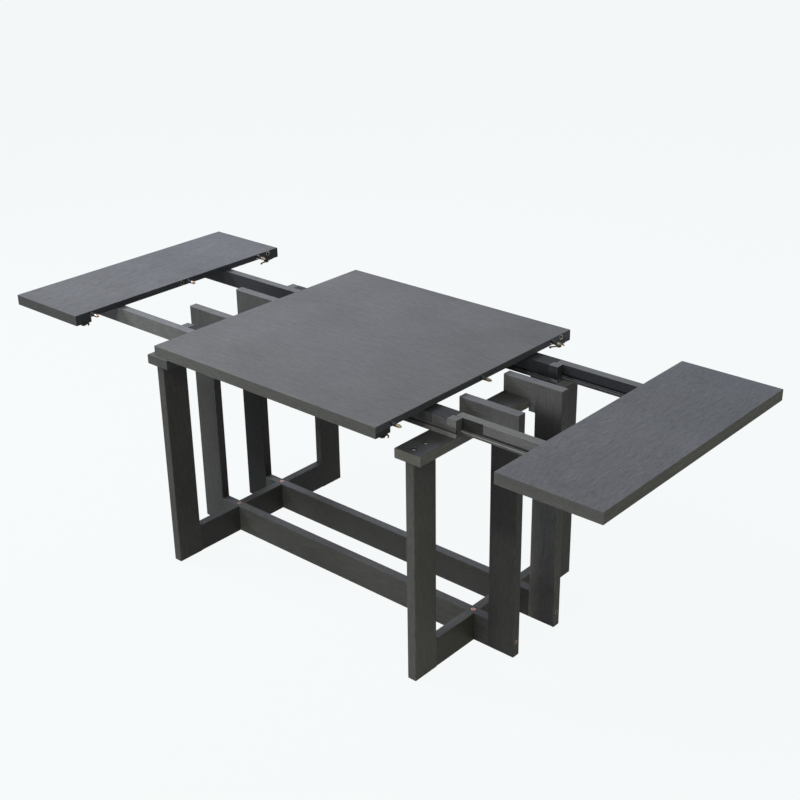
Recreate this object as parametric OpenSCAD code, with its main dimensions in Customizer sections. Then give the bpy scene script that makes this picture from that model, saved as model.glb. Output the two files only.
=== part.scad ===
// Extending dining table with a fixed centre top and two sliding end leaves.
// Origin on the floor under the middle of the table, +X towards the right leaf, +Y to the back, +Z up.
// The model stands with both leaves pulled fully out.

/* [Table top] */
// Height of the table's surface
table_h = 762; // [700:1:800]
// Length of the fixed centre top
centre_l = 848; // [780:1:900]
// Width of all three tops
top_w = 848; // [820:1:950]
// Length of one sliding leaf
leaf_l = 300; // [270:1:400]
// Space that opens between the centre top and a leaf
open_gap = 368; // [300:1:380]
// Space left at a mating edge when a leaf is closed
closed_gap = 0.4; // [0.3:0.1:1]
// Thickness of the panels
panel_t = 19; // [17:0.5:22]
// Height of the built-up edge, panel and strip together
edge_h = 33; // [28:0.5:38]
// Width of the strips under the edges
strip_w = 56; // [52:1:64]
// Bevel that eases the edges of the tops
top_ease = 0.8; // [0.3:0.1:1.5]

/* [Base] */
// Thickness of every board of the base
board_t = 28.5; // [26:0.5:32]
// Width of the legs, posts and arms
board_w = 88; // [80:1:96]
// Height of the boards that lie on the floor
floor_board_h = 90; // [80:1:100]
// Distance of each end frame from the table's middle
frame_x = 483; // [470:1:488]
// Width of the end frames over their legs
frame_w = 730; // [700:1:740]
// Width of the cleats that lie on the legs
cleat_w = 86; // [76:1:96]
// How far a cleat reaches past the front leg's outer face
cleat_over = 8; // [2:1:16]
// How far a cleat stops short of the back leg's outer face
cleat_short = 7; // [0:1:8]
// Distance of each long frame from the table's middle
beam_y = 97; // [85:1:115]
// Distance of the posts' centres from the table's middle
post_x = 590; // [584:1:600]
// Space between the posts and arms and the leaves that pass over them
top_clear = 1; // [0.5:0.1:2]
// Bevel that eases the boards' long edges
edge_ease = 1.5; // [0.5:0.1:2.5]

/* [Slides] */
// Height of the slides, from the cleats to the panels
slide_h = 51; // [48:0.5:56]
// Distance of the centre rails from the table's middle
rail_y = 223; // [210:1:240]
// Thickness of a centre rail's head
rail_w = 26; // [24:0.5:30]
// Thickness of a centre rail's neck
neck_w = 12; // [11:0.5:14]
// Width of a centre rail's foot
foot_w = 30; // [27:0.5:33]
// Height of the foot's straight side
foot_h = 2; // [1:0.5:3]
// Height of the flare from the foot to the neck
flare_h = 12.5; // [11:0.5:14]
// Height of a centre rail's underside groove mouth above the flare
mouth_h = 2.1; // [1.8:0.1:2.6]
// Depth of the groove that holds a runner's rib
groove_h = 3; // [2.5:0.1:4]
// Thickness of the lip that hangs outside the groove
lip_w = 3.4; // [3:0.1:3.8]
// How far a centre rail reaches past the cleats
rail_over = 2; // [0:0.5:6]
// Thickness of a runner
runner_w = 27; // [24:0.5:32]
// Running clearance between a runner and a centre rail
slide_gap = 0.4; // [0.3:0.05:0.6]
// How far the seats under the panels stand above the rest of a slide
seat_rise = 1.5; // [1:0.1:2]
// Distance of the seats' ends from the tops' edges
seat_in = 2; // [1:0.5:8]
// Distance of a runner's inner end from the table's middle with the leaf out
runner_in = 60; // [40:1:90]
// Space between a runner's outer end and the end strip
runner_end_gap = 6; // [2:1:12]
// Diameter of the stop pegs
peg_d = 8; // [6:0.5:10]
// Distance of a stop peg from its runner's inner face
peg_side = 16; // [12:1:18]
// Length of a stop peg below its runner
peg_out = 14; // [10:0.5:18]

/* [Pins and sockets] */
// Diameter of the alignment pins' brass caps
pin_d = 10; // [8:0.5:11]
// Length of a pin outside its edge, brass cap included
pin_out = 34; // [28:1:38]
// Length of a pin's brass cap
cap_l = 13; // [10:1:15]
// How far the brass cap stands proud of its pin, all round
cap_step = 0.2; // [0.1:0.05:0.3]
// Length of a pin inside its panel
pin_in = 28; // [20:1:36]
// Distance of the front pins from the table's middle
pin_front_y = 366; // [350:1:385]
// Distance of the centre top's middle pin from the table's middle
pin_middle_y = 3; // [0:1:20]
// Distance of the left leaf's middle pin from the table's middle
left_pin_middle_y = 19; // [15:1:24]
// Distance of the back pins from the table's middle
pin_back_y = 331; // [315:1:345]
// Distance of the back bushes from the table's middle
bush_y = 378; // [370:1:390]
// How far the left leaf's middle bush lies in front of the table's middle
left_bush_y = 4; // [0:1:6]
// Depth of a bush's bore
bush_depth = 16; // [10:1:24]
// Outside diameter of the rings and sockets
ring_d = 14; // [13:0.5:15]
// Length of a pin's ring
ring_l = 4; // [3:0.5:6]
// Space between a pin and its socket, all round
pin_gap = 0.3; // [0.3:0.05:0.5]
// Space between a pin's end and the bottom of its socket
socket_spare = 2; // [1:0.5:4]
// Thickness of a socket's bottom
socket_end = 1; // [0.8:0.1:2]
// Radius of a brass cap's blunt end
cap_end_r = 2.5; // [1.5:0.1:3.5]

/* [Locks] */
// Distance of the lock plates' middle from the table's middle
lock_y = 384; // [378:1:392]
// How far the rivets and studs lie in front of their plates' middle
lock_shift = 12; // [9:0.5:12]
// Distance of a lever's pivot inside its edge
pivot_in = 3; // [3:0.5:5]
// Distance of a catch's stud inside its edge
stud_in = 8; // [8:0.1:9]
// Thickness of the lock plates and catch plates
plate_t = 1.5; // [1.5:0.1:2.5]
// Length of a plate along the table
plate_l = 27; // [26:0.5:32]
// Width of a plate
plate_w = 32; // [32:0.5:36]
// Distance of a plate from its mating edge
plate_in = 0.6; // [0.5:0.1:1.5]
// Thickness of the levers
lever_t = 2.5; // [2:0.1:3]
// Radius of a lever's hub
hub_r = 8; // [7:0.1:8]
// Radius of the rivets and studs
rivet_r = 3; // [2.5:0.1:3]
// Radius of a rivet's head
rivet_head_r = 5; // [4.5:0.1:5.5]
// Thickness of a rivet's head
rivet_head_t = 1.5; // [1:0.1:2]
// Width of the hook's lip outside the stud
hook_lip = 2.8; // [2.4:0.1:3.2]
// Half of the angle that a hook takes in
hook_half = 34; // [32:1:35]
// Angle between a lever's hook and its thumb arm
thumb_angle = 150; // [140:1:160]
// Distance of a lever's knob from its pivot
knob_r = 26; // [24:0.5:32]
// Diameter of a lever's knob
knob_d = 6.5; // [6:0.5:9]
// How far a knob hangs below its lever
knob_h = 2; // [1:0.5:4]
// Width of the thumb arm
thumb_w = 5; // [4:0.5:6]
// Turn of the front levers from their locked place
front_turn = 50; // [48:1:60]
// Turn of the centre top's back lever from its locked place
centre_back_turn = 86; // [60:1:100]
// Turn of the left leaf's back lever from its locked place
leaf_back_turn = 126; // [110:1:144]
// Space between the moving faces of a lock
lock_gap = 0.3; // [0.3:0.05:0.5]
// Radius of the plate screws' shanks
plate_screw_r = 1.3; // [1:0.1:1.6]
// Radius of the plate screws' heads
plate_screw_head_r = 2.6; // [2.2:0.1:3]
// Depth of the plate screws' heads
plate_screw_head_h = 1.2; // [1:0.1:1.4]
// Length of the plate screws
plate_screw_l = 10; // [8:0.5:12]
// Distance of the plate screws from a plate's ends and sides
plate_screw_in = 5; // [4:0.5:6]

/* [Fasteners] */
// Space between a fastener and its hole, all round
fit = 0.05; // [0.03:0.01:0.1]
// Radius of the wood screws' shanks
screw_r = 2.5; // [2:0.1:3]
// Radius of the wood screws' heads
screw_head_r = 4.6; // [4:0.1:5]
// Radius of the connecting screws' and bolts' shanks
bolt_r = 3.5; // [3:0.1:4]
// Radius of the connecting screws' and bolts' heads
bolt_head_r = 6.5; // [6:0.1:7.5]
// Depth of the screws' and bolts' heads
head_h = 3; // [2.5:0.1:4]
// Length that a screw or bolt holds in its second board
bite = 30; // [24:1:36]
// Length that a screw holds in a panel
panel_bite = 13; // [10:0.5:14]
// Distance of the outer leg screw from the leg's outer face
leg_screw_in = 18; // [18:1:22]
// Distance between the two screws of a leg
leg_screw_spacing = 46; // [30:1:50]
// Radius of the wells that the leg screws' heads lie in
leg_well_r = 8; // [7.5:0.1:9]
// Depth of those wells
leg_well_h = 4; // [3:0.5:6]
// Diameter of the joint dowels
dowel_d = 8; // [6:0.5:10]
// Length of a dowel on each side of its joint
dowel_half = 25; // [18:1:30]
// Distance between the two dowels of a joint on the floor
floor_dowel_spacing = 36; // [24:1:44]
// Distance between the two dowels of an arm
arm_dowel_spacing = 18; // [14:1:24]
// Distance of the outer screws of the centre top from the table's middle
top_screw_x = 330; // [250:1:380]
// Depth that the centre top's screws are sunk in the rails
rail_sink = 6; // [4:0.5:8]
// Distance of a runner's first screw from its leaf's mating edge
runner_screw_in = 45; // [30:1:60]
// Distance between a runner's screws
runner_screw_spacing = 90; // [60:1:95]
// Depth that the runners' screws are sunk
runner_sink = 18; // [12:1:24]
// Space past a fastener's end in its hole
end_fit = 0.25; // [0.1:0.05:0.5]

/* [Hidden] */
$fn = 48;
RIGHT = 1;
LEFT = -1;
FRONT = -1;
BACK = 1;

under_top = table_h - panel_t;          // underside of the panels
cleat_z = under_top - slide_h;          // top of the cleats
leg_h = cleat_z - board_t;              // top of the legs
post_h = under_top - top_clear;         // top of the posts and arms
strip_z = table_h - edge_h;             // underside of the strips
centre_x = centre_l / 2;                // mating edges of the centre top
leaf_x = centre_x + open_gap;           // mating edge of a leaf, pulled out
end_x = leaf_x + leaf_l;                // outer edge of a leaf
side_y = top_w / 2;                     // front and back edges of the tops
half_y = frame_w / 2;                   // outer faces of the legs
cleat_out = frame_x + cleat_w / 2;      // a cleat's outer edge
cleat_in = frame_x - cleat_w / 2;       // a cleat's inner edge
post_in = post_x - board_w / 2;         // a post's inner face
rail_half = cleat_out + rail_over;      // half of a centre rail's length
slide_z = under_top - seat_rise;        // top of the slides away from their seats
runner_out = end_x - strip_w - runner_end_gap; // a runner's outer end
runner_u = rail_w / 2 + slide_gap;      // a runner's inner face, from its rail's middle
runner_z = cleat_z + foot_h + slide_gap; // underside of the runners
flare_z = cleat_z + foot_h + flare_h;   // where the flare meets the neck
mouth_z = flare_z + mouth_h;            // underside of the lip
groove_z = mouth_z + groove_h;          // top of the groove
peg_u = runner_u + peg_side;            // a stop peg's centre, from its rail's middle
peg_x = cleat_in - peg_d / 2 - slide_gap; // a stop peg's centre, against a cleat
pin_z = under_top + panel_t / 2;        // height of the pins
shank_r = pin_d / 2 - cap_step;         // radius of a pin's stained wooden part

// Places along Y of the pins between the centre top and the right leaf, and between it and the left
// leaf, and of the bushes on the two edges that carry pins.
RIGHT_PINS = [-pin_front_y, pin_middle_y, pin_back_y];
LEFT_PINS = [-pin_front_y, left_pin_middle_y, pin_back_y];
RIGHT_BUSHES = [bush_y];
LEFT_BUSHES = [-left_bush_y, bush_y];

socket_depth = pin_out + socket_spare;  // depth of a socket's bore
socket_l = socket_depth + socket_end;
plate_z = strip_z - plate_t;            // underside of the lock plates
lever_z = plate_z - lock_gap - lever_t; // underside of the levers
stud_r = pivot_in + closed_gap + stud_in; // from a lever's pivot to the locked stud
slot_half = rivet_r + lock_gap;         // half of the slot that takes the stud
hook_r = stud_r + slot_half + hook_lip; // reach of a lever's hook from its pivot

cut = 0.01;                             // overlap that joins two solids or opens a cut
over = 1;                               // how far a hole or notch is cut past the face that it opens
drive_depth = 0.7;                      // depth of a screw's six-sided socket, as a share of its head's
drive_width = 0.5;                      // radius of that socket, as a share of its head's

// A kind of screw is a list of its shank's radius, its head's radius and its head's depth.
SHANK = 0;
HEAD = 1;
HEAD_H = 2;
WOOD_SCREW = [screw_r, screw_head_r, head_h];
BOLT = [bolt_r, bolt_head_r, head_h];
PLATE_SCREW = [plate_screw_r, plate_screw_head_r, plate_screw_head_h];

frame_colour = "#3b3c39";
rail_colour = "#55535a";
top_colour = "#6b6d71";
edge_colour = "#55554c";
brass = "#b08d4f";
copper = "#a8714a";
steel = "#9a9c9e";
beech = "#b99a72";

// Children on the right, or mirrored to the left end.
module to_end(end) { mirror([end < 0 ? 1 : 0, 0, 0]) children(); }

// Children at the back, or mirrored to the front side.
module to_side(side) { mirror([0, side < 0 ? 1 : 0, 0]) children(); }

// Children at all four corners of the base.
module at_corners() { for (end = [LEFT, RIGHT], side = [FRONT, BACK]) to_end(end) to_side(side) children(); }

// Rectangle a by b with eased corners.
module eased_rectangle(a, b) {
    e = edge_ease;
    polygon([[e, 0], [a - e, 0], [a, e], [a, b - e], [a - e, b], [e, b], [0, b - e], [0, e]]);
}

// Rectangle a by b with eased corners at its top (up true) or its bottom.
module half_eased_rectangle(a, b, up) {
    e = top_ease;
    if (up) polygon([[0, 0], [a, 0], [a, b - e], [a - e, b], [e, b], [0, b - e]]);
    else polygon([[e, 0], [a - e, 0], [a, e], [a, b], [0, b], [0, e]]);
}

// Boards between two corners, with eased edges along X, Y or Z.
module board_x(low, high) {
    size = high - low;
    translate(low) rotate([90, 0, 90]) linear_extrude(size.x) eased_rectangle(size.y, size.z);
}
module board_y(low, high) {
    size = high - low;
    translate([low.x, high.y, low.z]) rotate([90, 0, 0])
        linear_extrude(size.y) eased_rectangle(size.x, size.z);
}
module board_z(low, high) {
    size = high - low;
    translate(low) linear_extrude(size.z) eased_rectangle(size.x, size.y);
}

// Boards of the tops between two corners, eased only at the top (up true) or at the bottom.
module top_along_x(low, high, up) {
    size = high - low;
    translate(low) rotate([90, 0, 90]) linear_extrude(size.x) half_eased_rectangle(size.y, size.z, up);
}
module top_along_y(low, high, up) {
    size = high - low;
    translate([low.x, high.y, low.z]) rotate([90, 0, 0])
        linear_extrude(size.y) half_eased_rectangle(size.x, size.z, up);
}
module top_board(low, high, up) intersection() { top_along_x(low, high, up); top_along_y(low, high, up); }

// Plain box between two corners.
module box(low, high) { translate(low) cube(high - low); }

// A countersunk screw of one kind that points down from its head at z = 0, widened by grow.
module screw_form(length, kind, grow = 0) {
    translate([0, 0, -kind[HEAD_H]])
        cylinder(h = kind[HEAD_H], r1 = kind[SHANK] + grow, r2 = kind[HEAD] + grow);
    translate([0, 0, -length]) cylinder(h = length - kind[HEAD_H] + cut, r = kind[SHANK] + grow);
}

// A screw with a six-sided socket in its head.
module screw(length, kind) difference() {
    screw_form(length, kind);
    translate([0, 0, -kind[HEAD_H] * drive_depth])
        cylinder(h = kind[HEAD_H], r = kind[HEAD] * drive_width, $fn = 6);
}

// A hole for a screw whose head is sunk by depth below the surface at z = 0.
module screw_hole(length, kind, depth = 0) translate([0, 0, -depth]) {
    screw_form(length + end_fit, kind, fit);
    translate([0, 0, -cut]) cylinder(h = depth + over, r = kind[HEAD] + fit);
}

// Places and directions of the base's fasteners, on the right and at the back.
crossing_length = floor_board_h / 2 + bite;
module at_crossing() { translate([frame_x, beam_y, floor_board_h]) children(); }
post_bolt_length = board_w + bite;
module at_post_bolt() {
    translate([post_in + board_w, beam_y, floor_board_h / 2]) rotate([0, 90, 0]) children();
}
leg_screw_length = board_t + bite - leg_well_h;
module at_leg_screws() {
    for (n = [0, 1]) translate([frame_x, half_y - leg_screw_in - n * leg_screw_spacing, cleat_z]) children();
}
module leg_screw_hole() {
    screw_hole(leg_screw_length, BOLT, leg_well_h);
    translate([0, 0, -leg_well_h]) cylinder(h = leg_well_h + over, r = leg_well_r);
}
cleat_screw_length = board_t + bite;
module at_rail_screw() { translate([frame_x, rail_y, leg_h]) rotate([180, 0, 0]) children(); }
module at_arm_screw() { translate([frame_x, beam_y, leg_h]) rotate([180, 0, 0]) children(); }
top_screw_length = slide_h - rail_sink + panel_bite;
module at_top_screws() {
    for (n = [-1:1]) translate([n * top_screw_x, rail_y, cleat_z]) rotate([180, 0, 0]) children();
}

// A dowel through the middle of its joint, and its hole.
module dowel() translate([0, 0, -dowel_half]) cylinder(h = 2 * dowel_half, d = dowel_d);
module dowel_hole() translate([0, 0, -dowel_half - end_fit])
    cylinder(h = 2 * (dowel_half + end_fit), r = dowel_d / 2 + fit);
module at_floor_dowels() for (n = [-1, 1])
    translate([frame_x, half_y - board_w, (floor_board_h + n * floor_dowel_spacing) / 2])
        rotate([90, 0, 0]) children();
module at_arm_dowels() for (n = [-1, 1])
    translate([post_in, beam_y, (post_h + cleat_z + n * arm_dowel_spacing) / 2])
        rotate([0, 90, 0]) children();

// Base

// A leg's inner edges stay square where the floor rail meets them.
module leg(end, side) to_end(end) to_side(side) difference() {
    union() {
        board_z([frame_x - board_t / 2, half_y - board_w, 0], [frame_x + board_t / 2, half_y, leg_h]);
        box([frame_x - board_t / 2, half_y - board_w, 0],
            [frame_x + board_t / 2, half_y - board_w + edge_ease, floor_board_h]);
    }
    at_leg_screws() leg_screw_hole();
    at_floor_dowels() dowel_hole();
}

// Runs between the legs, with a notch in its upper half for each stretcher.
module floor_rail(end) to_end(end) difference() {
    board_y([frame_x - board_t / 2, board_w - half_y, 0],
            [frame_x + board_t / 2, half_y - board_w, floor_board_h]);
    for (side = [FRONT, BACK]) to_side(side) {
        box([frame_x - board_t, beam_y - board_t / 2, floor_board_h / 2],
            [frame_x + board_t, beam_y + board_t / 2, floor_board_h + over]);
        at_crossing() screw_hole(crossing_length, BOLT);
        at_floor_dowels() dowel_hole();
    }
}

// Lies flat on the two legs of an end frame.
module cleat(end) to_end(end) difference() {
    board_y([cleat_in, -half_y - cleat_over, leg_h], [cleat_out, half_y - cleat_short, cleat_z]);
    for (side = [FRONT, BACK]) to_side(side) {
        at_leg_screws() leg_screw_hole();
        at_rail_screw() screw_hole(cleat_screw_length, WOOD_SCREW);
        at_arm_screw() screw_hole(cleat_screw_length, WOOD_SCREW);
    }
}

// Runs from post to post, with a notch in its lower half over each floor rail.
module stretcher(side) to_side(side) difference() {
    board_x([-post_in, beam_y - board_t / 2, 0], [post_in, beam_y + board_t / 2, floor_board_h]);
    for (end = [LEFT, RIGHT]) to_end(end) {
        box([frame_x - board_t / 2, beam_y - board_t, -over],
            [frame_x + board_t / 2, beam_y + board_t, floor_board_h / 2]);
        at_crossing() screw_hole(crossing_length, BOLT);
        at_post_bolt() screw_hole(post_bolt_length, BOLT);
    }
}

// A post's inner edges stay square where the stretcher and the arm meet them.
module post_form() {
    low = [post_in, beam_y - board_t / 2, 0];
    high = [post_in + board_w, beam_y + board_t / 2, post_h];
    intersection() {
        board_x(low, high);
        union() {
            board_z(low, high);
            box(low, [post_in + edge_ease, high.y, floor_board_h]);
            box([post_in, low.y, post_h - board_w], [post_in + edge_ease, high.y, post_h]);
        }
    }
}
module post(end, side) to_end(end) to_side(side) difference() {
    post_form();
    at_post_bolt() screw_hole(post_bolt_length, BOLT);
    at_arm_dowels() dowel_hole();
}

// Reaches from a post's head over the cleat, and is notched to sit on it.
module arm(end, side) to_end(end) to_side(side) difference() {
    board_x([cleat_in, beam_y - board_t / 2, post_h - board_w], [post_in, beam_y + board_t / 2, post_h]);
    box([cleat_in - over, beam_y - board_t, post_h - board_w - over], [cleat_out, beam_y + board_t, cleat_z]);
    at_arm_screw() screw_hole(cleat_screw_length, WOOD_SCREW);
    at_arm_dowels() dowel_hole();
}

// Slides

// One half of a centre rail's section: foot, flare, neck, groove, hanging lip and head.
function rail_half_section(top) =
    [[foot_w / 2, cleat_z], [foot_w / 2, cleat_z + foot_h], [neck_w / 2, flare_z], [neck_w / 2, groove_z],
     [rail_w / 2 - lip_w, groove_z], [rail_w / 2 - lip_w, mouth_z], [rail_w / 2, mouth_z], [rail_w / 2, top]];
function mirrored(points) = [for (i = [len(points) - 1:-1:0]) [-points[i].x, points[i].y]];
module rail_section(top) polygon(concat(rail_half_section(top), mirrored(rail_half_section(top))));

module rail_stretch(half, top)
    translate([-half, rail_y, 0]) rotate([90, 0, 90]) linear_extrude(2 * half) rail_section(top);
module centre_rail(side) to_side(side) difference() {
    union() {
        rail_stretch(rail_half, slide_z);
        rail_stretch(centre_x - seat_in, under_top);
    }
    for (end = [LEFT, RIGHT]) to_end(end) at_rail_screw() screw_hole(cleat_screw_length, WOOD_SCREW);
    at_top_screws() screw_hole(top_screw_length, WOOD_SCREW, rail_sink);
}

// A runner's section on the +Y side of its rail: a body, and a tongue whose rib hooks into the rail's groove.
flare_slope = (foot_w - neck_w) / 2 / flare_h;
tongue_u = neck_w / 2 + slide_gap;
// The tongue keeps slide_gap from the flare across the slope
flare_shift = slide_gap * sqrt(1 + flare_slope * flare_slope);
rib_u = rail_w / 2 - lip_w - slide_gap;
module runner_section(top)
    polygon([[runner_u, top], [runner_u + runner_w, top], [runner_u + runner_w, runner_z],
             [neck_w / 2 + flare_shift + (flare_z - runner_z) * flare_slope, runner_z],
             [tongue_u, flare_z + (flare_shift - slide_gap) / flare_slope],
             [tongue_u, groove_z - slide_gap], [rib_u, groove_z - slide_gap],
             [rib_u, mouth_z - slide_gap], [runner_u, mouth_z - slide_gap]]);

// Places of a leaf's runner screws and of a stop peg, which holds as deep as it stands out.
runner_screw_length = under_top - runner_z - runner_sink + panel_bite;
module at_runner_screws() for (n = [0:2])
    translate([leaf_x + runner_screw_in + n * runner_screw_spacing, runner_u + runner_w / 2, runner_z])
        rotate([180, 0, 0]) children();
module at_peg() translate([peg_x, peg_u, runner_z]) children();
module peg() at_peg() translate([0, 0, -peg_out]) cylinder(h = 2 * peg_out, d = peg_d);
module peg_hole() at_peg() translate([0, 0, -over])
    cylinder(h = peg_out + end_fit + over, r = peg_d / 2 + fit);

module runner_stretch(from, top)
    translate([from, 0, 0]) rotate([90, 0, 90]) linear_extrude(runner_out - from) runner_section(top);
module runner(side) translate([0, side * rail_y, 0]) difference() {
    union() {
        runner_stretch(runner_in, slide_z);
        runner_stretch(leaf_x + seat_in, under_top);
    }
    at_runner_screws() screw_hole(runner_screw_length, WOOD_SCREW, runner_sink);
    peg_hole();
}
module runner_screws()
    for (side = [FRONT, BACK]) translate([0, side * rail_y, 0])
        at_runner_screws() translate([0, 0, -runner_sink]) screw(runner_screw_length, WOOD_SCREW);
module stop_pegs() for (side = [FRONT, BACK]) translate([0, side * rail_y, 0]) peg();

// Pins, rings, bushes and sockets, at a mating edge that faces +X (pins and bushes) or -X (sockets).
module along_edge(edge, places) {
    for (y = places) translate([edge, y, pin_z]) rotate([0, 90, 0]) children();
}
module ring_hole() translate([0, 0, -ring_l - fit]) cylinder(h = ring_l + over, r = ring_d / 2 + fit);
module pin_hole(edge, pins, bushes) {
    along_edge(edge, pins) {
        translate([0, 0, -pin_in - fit]) cylinder(h = pin_in + over, r = shank_r + fit);
        ring_hole();
    }
    along_edge(edge, bushes) {
        translate([0, 0, -bush_depth]) cylinder(h = bush_depth + over, r = pin_d / 2 + pin_gap);
        ring_hole();
    }
}
module pins(edge, pins) along_edge(edge, pins)
    translate([0, 0, -pin_in]) cylinder(h = pin_in + pin_out - cap_l, r = shank_r);
module ring(bore_r) translate([0, 0, -ring_l]) difference() {
    cylinder(h = ring_l, r = ring_d / 2);
    translate([0, 0, -over]) cylinder(h = ring_l + 2 * over, r = bore_r);
}
module pin_brass(edge, pins, bushes) {
    along_edge(edge, pins) {
        ring(shank_r + fit);
        translate([0, 0, pin_out - cap_l]) {
            cylinder(h = cap_l / 2, r = pin_d / 2);
            translate([0, 0, cap_l / 2]) cylinder(h = cap_l / 2, r1 = pin_d / 2, r2 = cap_end_r);
        }
    }
    along_edge(edge, bushes) ring(pin_d / 2 + pin_gap);
}
module socket_hole(edge, pins) along_edge(edge, pins)
    translate([0, 0, -over]) cylinder(h = socket_l + over + fit, r = ring_d / 2 + fit);
module sockets(edge, pins) along_edge(edge, pins) difference() {
    cylinder(h = socket_l, r = ring_d / 2);
    translate([0, 0, -over]) cylinder(h = socket_depth + over, r = pin_d / 2 + pin_gap);
}

// Tops

// Runner screws reach into a leaf's panel; the fixed top takes the rails' screws.
module centre_panel_form() difference() {
    top_board([-centre_x, -side_y, under_top], [centre_x, side_y, table_h], true);
    pin_hole(centre_x, RIGHT_PINS, RIGHT_BUSHES);
    socket_hole(-centre_x, LEFT_PINS);
    for (side = [FRONT, BACK]) to_side(side)
        at_top_screws() screw_hole(top_screw_length, WOOD_SCREW, rail_sink);
}
module leaf_panel_form() difference() {
    top_board([leaf_x, -side_y, under_top], [end_x, side_y, table_h], true);
    for (side = [FRONT, BACK]) translate([0, side * rail_y, 0])
        at_runner_screws() screw_hole(runner_screw_length, WOOD_SCREW, runner_sink);
}
module side_strip_form(from, to, side) to_side(side)
    top_board([from, side_y - strip_w, strip_z], [to, side_y, under_top], false);
module end_strip_form()
    top_along_y([end_x - strip_w, -side_y + strip_w, strip_z], [end_x, side_y - strip_w, under_top], false);

// Locks

// Places of the two locks along a mating edge, and of a plate's screws to its left or its right.
module at_locks(edge) { for (side = [FRONT, BACK]) translate([edge, side * lock_y, 0]) children(); }
module at_plate_screws(dir) to_end(dir) for (n = [-1, 1])
    translate([plate_in + plate_l - plate_screw_in, n * (plate_w / 2 - plate_screw_in), plate_z])
        rotate([180, 0, 0]) children();

// A plate with a hole for its rivet or stud at distance x from the edge, and its two screws.
module plate(dir, x) {
    difference() {
        to_end(dir) translate([plate_in, -plate_w / 2, plate_z]) cube([plate_l, plate_w, plate_t]);
        at_plate_screws(dir) screw_hole(plate_screw_l, PLATE_SCREW);
        translate([dir * x, -lock_shift, plate_z - over]) cylinder(h = plate_t + 2 * over, r = rivet_r + fit);
    }
    at_plate_screws(dir) screw(plate_screw_l, PLATE_SCREW);
}

// The rivet hangs through the plate and the lever, with a head under the lever; the stud is plain.
module lock_plates(edge) at_locks(edge) {
    plate(LEFT, pivot_in);
    translate([-pivot_in, -lock_shift, lever_z - lock_gap - rivet_head_t]) {
        cylinder(h = rivet_head_t, r = rivet_head_r);
        cylinder(h = strip_z - lever_z + lock_gap + rivet_head_t, r = rivet_r);
    }
}
module catches(edge) at_locks(edge) {
    plate(RIGHT, stud_in);
    translate([stud_in, -lock_shift, lever_z]) cylinder(h = strip_z - lever_z, r = rivet_r);
}
module lock_screw_holes(edge) at_locks(edge) at_plate_screws(LEFT) screw_hole(plate_screw_l, PLATE_SCREW);
module catch_screw_holes(edge) at_locks(edge) at_plate_screws(RIGHT) screw_hole(plate_screw_l, PLATE_SCREW);

// A wedge of the plane round the origin, between two angles less than 90 degrees apart.
module wedge(from, to) {
    r = 2 * hook_r;
    polygon([[0, 0], [r * cos(from), r * sin(from)], [r * cos(to), r * sin(to)]]);
}

// The lever as it stands when locked: hub, hook that turns round the stud, and thumb arm with its knob.
module hook_slot() {
    intersection() {
        difference() { circle(stud_r + slot_half); circle(stud_r - slot_half); }
        wedge(-2 * hook_half, 0);
    }
    translate([stud_r, 0]) circle(slot_half);
}
module lever_plan() difference() {
    union() {
        circle(hub_r);
        intersection() { circle(hook_r); wedge(-hook_half, hook_half); }
        rotate(thumb_angle) translate([0, -thumb_w / 2]) square([knob_r, thumb_w]);
    }
    circle(rivet_r + fit);
    hook_slot();
}
module lever(edge, side, turn)
    translate([edge - pivot_in, side * lock_y - lock_shift, lever_z]) rotate(turn) {
        linear_extrude(lever_t) lever_plan();
        rotate(thumb_angle) translate([knob_r, 0, -knob_h]) cylinder(h = knob_h + lever_t, d = knob_d);
    }

// One module for each piece

module right_front_leg() color(frame_colour) leg(RIGHT, FRONT);
module right_back_leg() color(frame_colour) leg(RIGHT, BACK);
module right_floor_rail() color(frame_colour) floor_rail(RIGHT);
module right_cleat() color(frame_colour) cleat(RIGHT);
module left_front_leg() color(frame_colour) leg(LEFT, FRONT);
module left_back_leg() color(frame_colour) leg(LEFT, BACK);
module left_floor_rail() color(frame_colour) floor_rail(LEFT);
module left_cleat() color(frame_colour) cleat(LEFT);
module front_stretcher() color(frame_colour) stretcher(FRONT);
module back_stretcher() color(frame_colour) stretcher(BACK);
module right_front_post() color(frame_colour) post(RIGHT, FRONT);
module right_back_post() color(frame_colour) post(RIGHT, BACK);
module left_front_post() color(frame_colour) post(LEFT, FRONT);
module left_back_post() color(frame_colour) post(LEFT, BACK);
module right_front_arm() color(frame_colour) arm(RIGHT, FRONT);
module right_back_arm() color(frame_colour) arm(RIGHT, BACK);
module left_front_arm() color(frame_colour) arm(LEFT, FRONT);
module left_back_arm() color(frame_colour) arm(LEFT, BACK);
module front_centre_rail() color(rail_colour) centre_rail(FRONT);
module back_centre_rail() color(rail_colour) centre_rail(BACK);
module centre_panel() color(top_colour) centre_panel_form();
module centre_front_strip() color(edge_colour) difference() {
    side_strip_form(-centre_x, centre_x, FRONT);
    lock_screw_holes(centre_x);
    catch_screw_holes(-centre_x);
}
module centre_back_strip() color(edge_colour) difference() {
    side_strip_form(-centre_x, centre_x, BACK);
    lock_screw_holes(centre_x);
    catch_screw_holes(-centre_x);
}
module crossing_screws() color(copper) at_corners() at_crossing() screw(crossing_length, BOLT);
module post_bolts() color(copper) at_corners() at_post_bolt() screw(post_bolt_length, BOLT);
module leg_screws() color(steel) at_corners() at_leg_screws()
    translate([0, 0, -leg_well_h]) screw(leg_screw_length, BOLT);
module cleat_screws() color(steel) at_corners() {
    at_rail_screw() screw(cleat_screw_length, WOOD_SCREW);
    at_arm_screw() screw(cleat_screw_length, WOOD_SCREW);
}
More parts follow.
